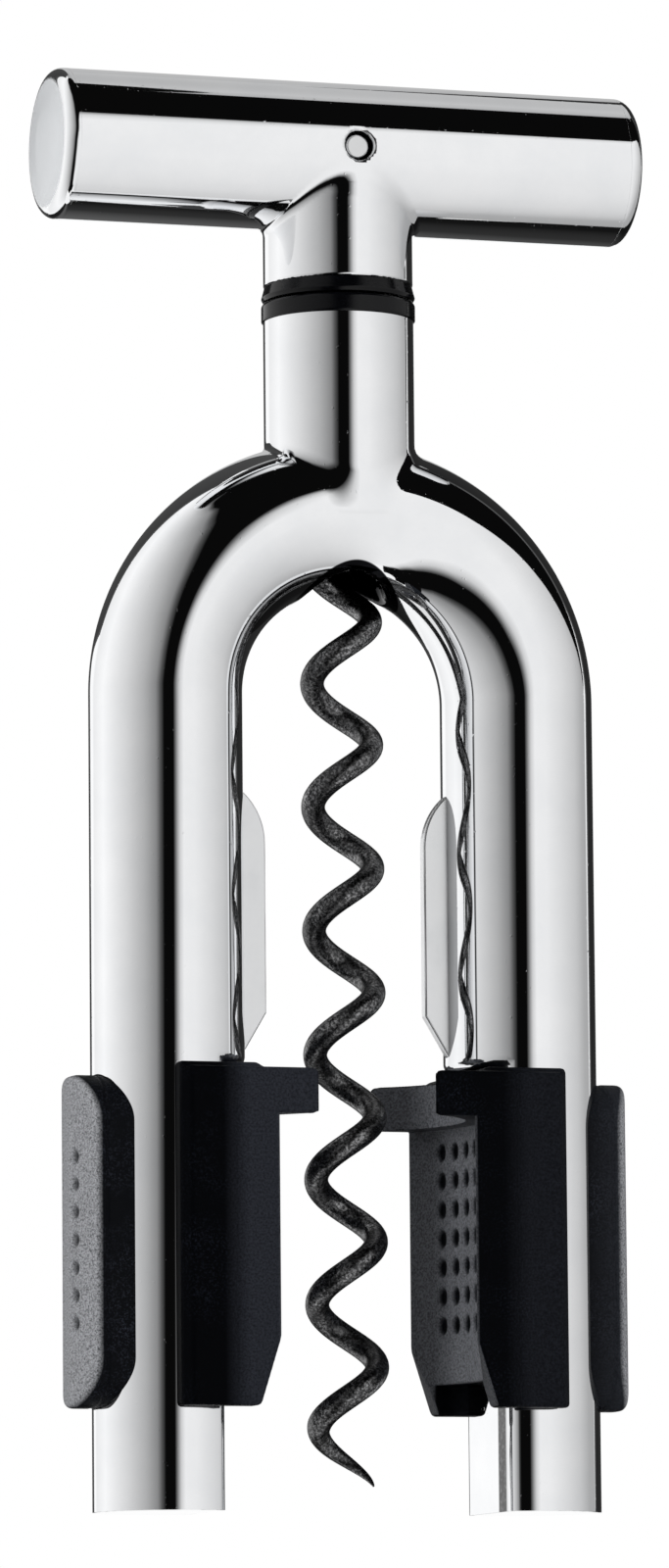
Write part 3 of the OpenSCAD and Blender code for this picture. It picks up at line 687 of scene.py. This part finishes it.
# Cross pin: its ends are sunk in the bar
pin = {"radius": 1.35, "half": 7.7, "rounding": 0.25, "steps": 48}
place = Matrix.Translation((0, 0, handle["barHeight"])) @ Matrix.Rotation(math.pi / 2, 4, "X")
addPiece("crossPin", turnedMesh("crossPin", [
    (0, -pin["half"], 0), (pin["radius"], -pin["half"], pin["rounding"]),
    (pin["radius"], pin["half"], pin["rounding"]), (0, pin["half"], 0)], pin["steps"], place),
    finSteel, "handle", ["cross_pin"])
print("turned pieces made")

# Fins: bevelled plates, straight below and rounded above
fin = {"edge": 9.4, "face": 12.2, "root": 14.7, "foot": 51.4, "slope": 4.7, "long": 29.9, "round": 6.0,
       "arcSteps": 12, "thick": 1.4, "bevel": 0.25, "bevelSteps": 3, "sharp": 0.6}
for side, word in bothSides:
    top = fin["foot"] + fin["long"]
    reach = fin["face"] - fin["edge"]
    arc = (reach ** 2 + fin["round"] ** 2) / (2 * reach)
    outline = [(fin["root"], fin["foot"]), (fin["face"], fin["foot"]), (fin["edge"], fin["foot"] + fin["slope"])]
    last = math.asin(fin["round"] / arc)
    for k in range(fin["arcSteps"] + 1):
        turn = last * k / fin["arcSteps"]
        outline.append((fin["edge"] + arc * (1 - math.cos(turn)), top - fin["round"] + arc * math.sin(turn)))
    outline.append((fin["root"], top))
    made = bmesh.new()
    flat = [made.verts.new((side * x * mm, -fin["thick"] / 2 * mm, z * mm)) for x, z in outline]
    face = made.faces.new(flat)
    lift = bmesh.ops.extrude_face_region(made, geom=[face])
    lifted = [v for v in lift["geom"] if isinstance(v, bmesh.types.BMVert)]
    bmesh.ops.translate(made, vec=(0, fin["thick"] * mm, 0), verts=lifted)
    bmesh.ops.recalc_face_normals(made, faces=made.faces)
    sharp = [e for e in made.edges if len(e.link_faces) == 2 and e.calc_face_angle() > fin["sharp"]]
    bmesh.ops.bevel(made, geom=sharp, offset=fin["bevel"] * mm, segments=fin["bevelSteps"], affect="EDGES",
                    profile=0.5)
    mesh = bpy.data.meshes.new(word + "Fin")
    made.to_mesh(mesh)
    made.free()
    addPiece(word + "Fin", mesh, finSteel, "frame", [word + "_cork_fin"])
print("fins made")


# Wound pieces: one Geometry Nodes tree for the worm and the return springs
def windTree():
    tree = bpy.data.node_groups.new("windWire", "GeometryNodeTree")
    sizes = (("Turns", 8.0), ("Pitch", 0.014), ("Radius", 0.003), ("Wire", 0.0016), ("TipTurns", 0.75),
             ("TipThin", 0.08), ("TipIn", 0.9), ("CloseAt", 7.0), ("CloseTurns", 0.6), ("Start", 0.0), ("Rings", 500),
             ("Sides", 20), ("Copies", 1), ("Apart", 0.018))
    for name, value in sizes:
        kind = "NodeSocketInt" if isinstance(value, int) else "NodeSocketFloat"
        tree.interface.new_socket(name, in_out="INPUT", socket_type=kind).default_value = value
    tree.interface.new_socket("First", in_out="INPUT", socket_type="NodeSocketVector")
    tree.interface.new_socket("Lean", in_out="INPUT", socket_type="NodeSocketVector")
    tree.interface.new_socket("Finish", in_out="INPUT", socket_type="NodeSocketMaterial")
    tree.interface.new_socket("Geometry", in_out="OUTPUT", socket_type="NodeSocketGeometry")
    wire = Wire(tree)
    given = {entry.socket.name: entry for entry in wire.add("NodeGroupInput", None, None, None)}
    line = wire.add("GeometryNodeCurvePrimitiveLine")
    fineLine = wire.add("GeometryNodeResampleCurve", None, {"Curve": line, "Count": given["Rings"]})
    turns = wire.add("GeometryNodeSplineParameter") * given["Turns"]
    angle = given["Start"] + turns * (2 * math.pi)
    thin = wire.maths("POWER", wire.maths("MINIMUM", turns / given["TipTurns"], 1.0), 0.8)
    closing = wire.maths("MAXIMUM", (turns - given["CloseAt"]) / given["CloseTurns"], 0.0)
    closing = wire.maths("MINIMUM", closing, 1.0)
    spread = given["Radius"] * (given["TipIn"] + (1 - given["TipIn"]) * thin) \
        * (0.5 + 0.5 * wire.maths("COSINE", closing * math.pi))
    spot = wire.add("ShaderNodeCombineXYZ", None, {"X": spread * wire.maths("COSINE", angle),
                                                   "Y": spread * wire.maths("SINE", angle),
                                                   "Z": turns * given["Pitch"]})
    wound = wire.add("GeometryNodeSetPosition", None, {"Geometry": fineLine, "Position": spot})
    thick = given["Wire"] * (given["TipThin"] + (1 - given["TipThin"]) * thin)
    circle = wire.add("GeometryNodeCurvePrimitiveCircle", None, {"Resolution": given["Sides"], "Radius": 1.0})
    tube = wire.add("GeometryNodeCurveToMesh", None, {"Curve": wound, "Profile Curve": circle, "Scale": thick,
                                                      "Fill Caps": True})
    smooth = wire.add("GeometryNodeSetShadeSmooth", None, {"Geometry": tube})
    step = wire.add("ShaderNodeCombineXYZ", None, {"Z": given["Apart"]})
    spots = wire.add("GeometryNodeMeshLine", None, {"Count": given["Copies"], "Start Location": given["First"],
                                                   "Offset": step})
    copies = wire.add("GeometryNodeInstanceOnPoints", None, {"Points": spots, "Instance": smooth,
                                                            "Rotation": given["Lean"]})
    real = wire.add("GeometryNodeRealizeInstances", None, {"Geometry": copies})
    done = wire.add("GeometryNodeSetMaterial", None, {"Geometry": real, "Material": given["Finish"]})
    wire.add("NodeGroupOutput", None, {0: done})
    return tree


windWire = windTree()


def woundMesh(name, sizes):
    holder = bpy.data.objects.new(name + "Holder", bpy.data.meshes.new(name + "Empty"))
    bpy.context.scene.collection.objects.link(holder)
    modifier = holder.modifiers.new("wind", "NODES")
    modifier.node_group = windWire
    ids = {s.name: s.identifier for s in windWire.interface.items_tree if s.in_out == "INPUT"}
    for key, value in sizes.items():
        modifier[ids[key]] = value
    graph = bpy.context.evaluated_depsgraph_get()
    mesh = bpy.data.meshes.new_from_object(holder.evaluated_get(graph))
    mesh.name = name
    holder.modifiers.remove(modifier)
    bpy.data.objects.remove(holder)
    print(name, len(mesh.polygons), "faces")
    return mesh


# Worm: a right-hand helix with a tapered point, drawn in to the axis inside the barrel
worm = {"foot": 3.0, "top": 126.5, "pitch": 14.1, "radius": 3.34, "wire": 1.36, "start": 2.5, "tipTurns": 0.5,
        "closeEnd": 115.2, "closeTurns": 0.6, "rings": 620, "sides": 28}
wormLook = {"dark": (0.05, 0.05, 0.051), "light": (0.62, 0.62, 0.63), "rough": 0.25, "grain": 0.30}
wormCoat = coatedWire("wormCoat", wormLook)
addPiece("worm", woundMesh("worm", {
    "Turns": (worm["top"] - worm["foot"]) / worm["pitch"], "Pitch": worm["pitch"] * mm, "Radius": worm["radius"] * mm,
    "Wire": worm["wire"] * mm, "CloseAt": (worm["closeEnd"] - worm["foot"]) / worm["pitch"] - worm["closeTurns"],
    "CloseTurns": worm["closeTurns"], "Start": math.radians(worm["start"]), "TipTurns": worm["tipTurns"],
    "Rings": worm["rings"], "Sides": worm["sides"],
    "First": (0, 0, worm["foot"] * mm), "Finish": wormCoat}), wormCoat, "handle", ["worm"])

# Return springs: a pair of plain coils on each side
spring = {"foot": 22.2, "top": 27.7, "turns": 4.0, "radius": 3.1, "wire": 0.35, "low": 21.0, "apart": 18.0,
          "press": 1.5, "rings": 160, "sides": 10}
for side, word in bothSides:
    long = spring["top"] - spring["foot"]
    piece = addPiece(word + "Springs", woundMesh(word + "Springs", {
        "Turns": spring["turns"], "Pitch": long / spring["turns"] * mm, "Radius": spring["radius"] * mm,
        "Wire": spring["wire"] * mm, "TipTurns": 0.01, "TipThin": 1.0, "TipIn": 1.0, "CloseAt": 100.0,
        "Rings": spring["rings"], "Sides": spring["sides"], "Copies": 2, "Apart": spring["apart"] * mm,
        "First": (side * spring["foot"] * mm, 0, spring["low"] * mm), "Lean": (0, side * math.pi / 2, 0),
        "Finish": steel}), steel, "frame", [word + "_return_springs"])
    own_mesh(piece)

# Inner solids that stay as they are and only get a finish
for node, finish in (("spindle", innerSteel), ("thrust_washer", innerSteel), ("retaining_clip", innerSteel),
                     ("left_link_pins", steel), ("right_link_pins", steel)):
    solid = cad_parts[node].data
    solid.materials.clear()
    solid.materials.append(finish)
print("wound pieces made")

# Studio: white surroundings, two large softboxes, a black drape in the gap between them and overhead
studio = {"cameraTurn": -17.9, "middle": 0.08, "reach": 3.0, "rows": 49, "columns": 36,
          "floor": (0.88, 0.88, 0.885), "floorRadius": 2.5, "floorCorners": 96, "floorHeight": -0.0001}


def glow(name, stops):
    material, wire = newMaterial(name)
    place = wire.add("ShaderNodeSeparateXYZ", None, {0: wire.add("ShaderNodeUVMap", {"uv_map": "sweep"})})
    colour = wire.add("ShaderNodeValToRGB", {"stops": stops}, {0: place})
    closeMaterial(wire, wire.add("ShaderNodeEmission", None, {"Color": colour, "Strength": 1.0}))
    return material


def panel(name, edges, levels, further=0.0):
    # a curved sheet round the object, seen in reflections only: edges give height angle, inner and outer heading
    # from the camera, and levels give brightness by degrees from the inner edge
    heights, inners, outers = zip(*edges)
    wide = levels[-1][0]
    reach = studio["reach"] + further
    rows, columns = studio["rows"], studio["columns"]
    points, sweep = [], []
    for height in np.linspace(heights[0], heights[-1], rows):
        inner = np.interp(height, heights, inners)
        outer = np.interp(height, heights, outers)
        for heading in np.linspace(inner, outer, columns):
            turn, lift = math.radians(studio["cameraTurn"] + heading), math.radians(height)
            out = reach * math.cos(lift)
            points.append((out * math.sin(turn), -out * math.cos(turn), studio["middle"] + reach * math.sin(lift)))
            sweep.append((abs(heading - inner) / wide, 0.5))
    faces = [(i * columns + k, i * columns + k + 1, (i + 1) * columns + k + 1, (i + 1) * columns + k)
             for i in range(rows - 1) for k in range(columns - 1)]
    mesh = bpy.data.meshes.new(name)
    mesh.from_pydata(points, [], faces)
    layer = mesh.uv_layers.new(name="sweep")
    for loop in mesh.loops:
        layer.data[loop.index].uv = sweep[loop.vertex_index]
    mesh.materials.append(glow(name + "Glow", [(place / wide, level) for place, level in levels]))
    card = bpy.data.objects.new(name, mesh)
    bpy.context.scene.collection.objects.link(card)
    card.visible_camera = False
    card.visible_diffuse = False
    card.visible_shadow = False
    card.visible_transmission = False


black = [(0, 0.003), (90, 0.003)]
panel("leftSoftbox", [(-66, -40, -120), (-57, -30, -138), (-27, -16, -140), (-10, -9, -146), (0, -6, -151),
                      (12, 1, -151), (18, 2.5, -134), (33, 0, -130), (51, -9, -128), (63, -24, -127),
                      (72, -70, -120)],
      [(0, 0.003), (5.5, 0.09), (12, 0.27), (30, 0.47), (60, 0.73), (90, 0.95), (105, 1.04), (132, 0.92),
       (138, 1.06), (155, 1.06)])
panel("rightSoftbox", [(-74, 20, 80), (-70, 4, 140), (-57, -1, 133), (-27, 0, 132), (-3, 6, 132), (15, 17.5, 123),
                       (27, 19, 104), (34, 25, 88), (39, 34, 50)],
      [(0, 0.003), (3, 0.16), (9, 0.68), (15, 0.92), (32, 0.90), (60, 0.75), (85, 0.61), (105, 0.44), (136, 0.40)])
panel("frontDrape", [(-84, -75, 40), (-64, -66, 30), (-3, -12, 20), (8, -10, 128), (30, -20, 131), (45, -60, 128),
                     (60, -75, 124), (73, -100, 110)], black, 0.2)
panel("topDrape", [(72, -180, 180), (90, -180, 180)], black, 0.22)
panel("rearCanopy", [(14, 168, 192), (48, 168, 192), (51, 126, 212), (60, 110, 212), (66, 100, 212), (74, 94, 212)],
      [(0, 0.36), (5, 0.5), (30, 0.58), (60, 0.5), (118, 0.36)], 0.16)
panel("leftFlag", [(-9, -150, -172), (0, -152, -172), (12, -152, -172), (18, -134, -170), (66, -127, -170)],
      [(0, 0.12), (5, 0.05), (43, 0.07)], 0.12)
panel("rightFlag", [(-9, 131, 172), (9, 131, 172), (16, 131, 170), (52, 126, 170)],
      [(0, 0.14), (6, 0.02), (44, 0.03)], 0.12)
panel("lowRearFlag", [(-67, 138, 222), (-52, 132, 220), (-9, 131, 208)],
      [(0, 0.006), (20, 0.008), (42, 0.03), (50, 0.1), (58, 0.1), (66, 0.01), (90, 0.02)], 0.12)

floorMesh = bpy.data.meshes.new("floor")
turns = [2 * math.pi * k / studio["floorCorners"] for k in range(studio["floorCorners"])]
rim = [(studio["floorRadius"] * math.cos(turn), studio["floorRadius"] * math.sin(turn), studio["floorHeight"])
       for turn in turns]
floorMesh.from_pydata(rim, [], [tuple(range(len(rim)))])
floor = bpy.data.objects.new("floor", floorMesh)
bpy.context.scene.collection.objects.link(floor)
material, wire = newMaterial("floorPaper")
paper = wire.add("ShaderNodeBsdfDiffuse", None, {"Color": (*studio["floor"], 1)})
clear = wire.add("ShaderNodeBsdfTransparent")
behind = wire.add("ShaderNodeNewGeometry", None, None, "Backfacing")
mirrored = wire.add("ShaderNodeLightPath", None, None, "Is Glossy Ray")
hidden = wire.maths("MAXIMUM", behind, mirrored)  # from below and in reflections
closeMaterial(wire, wire.add("ShaderNodeMixShader", None, {0: hidden, 1: paper, 2: clear}))
floorMesh.materials.append(material)

world = bpy.data.worlds.new("studioWorld")
bpy.context.scene.world = world
world.use_nodes = True
world.node_tree.nodes.clear()
wire = Wire(world.node_tree)
white = wire.add("ShaderNodeBackground", None, {"Color": (1, 1, 1, 1), "Strength": 1.0})
wire.add("ShaderNodeOutputWorld", None, {"Surface": white})

lamp = {"place": (-0.7, -0.5, 1.0), "target": (0, 0, 0.08), "size": 0.8, "power": 6.0}
lampData = bpy.data.lights.new("softKey", "AREA")
lampData.size = lamp["size"]
lampData.energy = lamp["power"]
key = bpy.data.objects.new("softKey", lampData)
key.location = lamp["place"]
key.rotation_euler = (Vector(lamp["target"]) - Vector(lamp["place"])).to_track_quat("-Z", "Y").to_euler()
key.visible_glossy = False
bpy.context.scene.collection.objects.link(key)

# Camera: low, a little to the left of the front, looking up along the legs
view = {"turn": -17.9, "away": 0.950, "height": -0.0345, "aim": 0.0824, "aside": -0.00088, "roll": 0.505,
        "focal": 8615.0, "pictureHigh": 1600, "sensor": 36.0}
turn = math.radians(view["turn"])
eye = Vector((view["away"] * math.sin(turn), -view["away"] * math.cos(turn), view["height"]))
across = Vector((math.cos(turn), math.sin(turn), 0))
eye += across * view["aside"]
target = Vector((0, 0, view["aim"])) + across * view["aside"]
ahead = (target - eye).normalized()
right = ahead.cross(Vector((0, 0, 1))).normalized()
up = right.cross(ahead)
roll = math.radians(view["roll"])
right, up = right * math.cos(roll) - up * math.sin(roll), right * math.sin(roll) + up * math.cos(roll)
lens = bpy.data.cameras.new("camera")
lens.sensor_width = view["sensor"]
lens.lens = view["focal"] / view["pictureHigh"] * lens.sensor_width
lens.clip_start = 0.01
camera = bpy.data.objects.new("camera", lens)
camera.matrix_world = Matrix((
    (right.x, up.x, -ahead.x, eye.x), (right.y, up.y, -ahead.y, eye.y), (right.z, up.z, -ahead.z, eye.z),
    (0, 0, 0, 1)))
bpy.context.scene.collection.objects.link(camera)
bpy.context.scene.camera = camera
bpy.context.scene.view_settings.view_transform = "Standard"
print("studio and camera set")
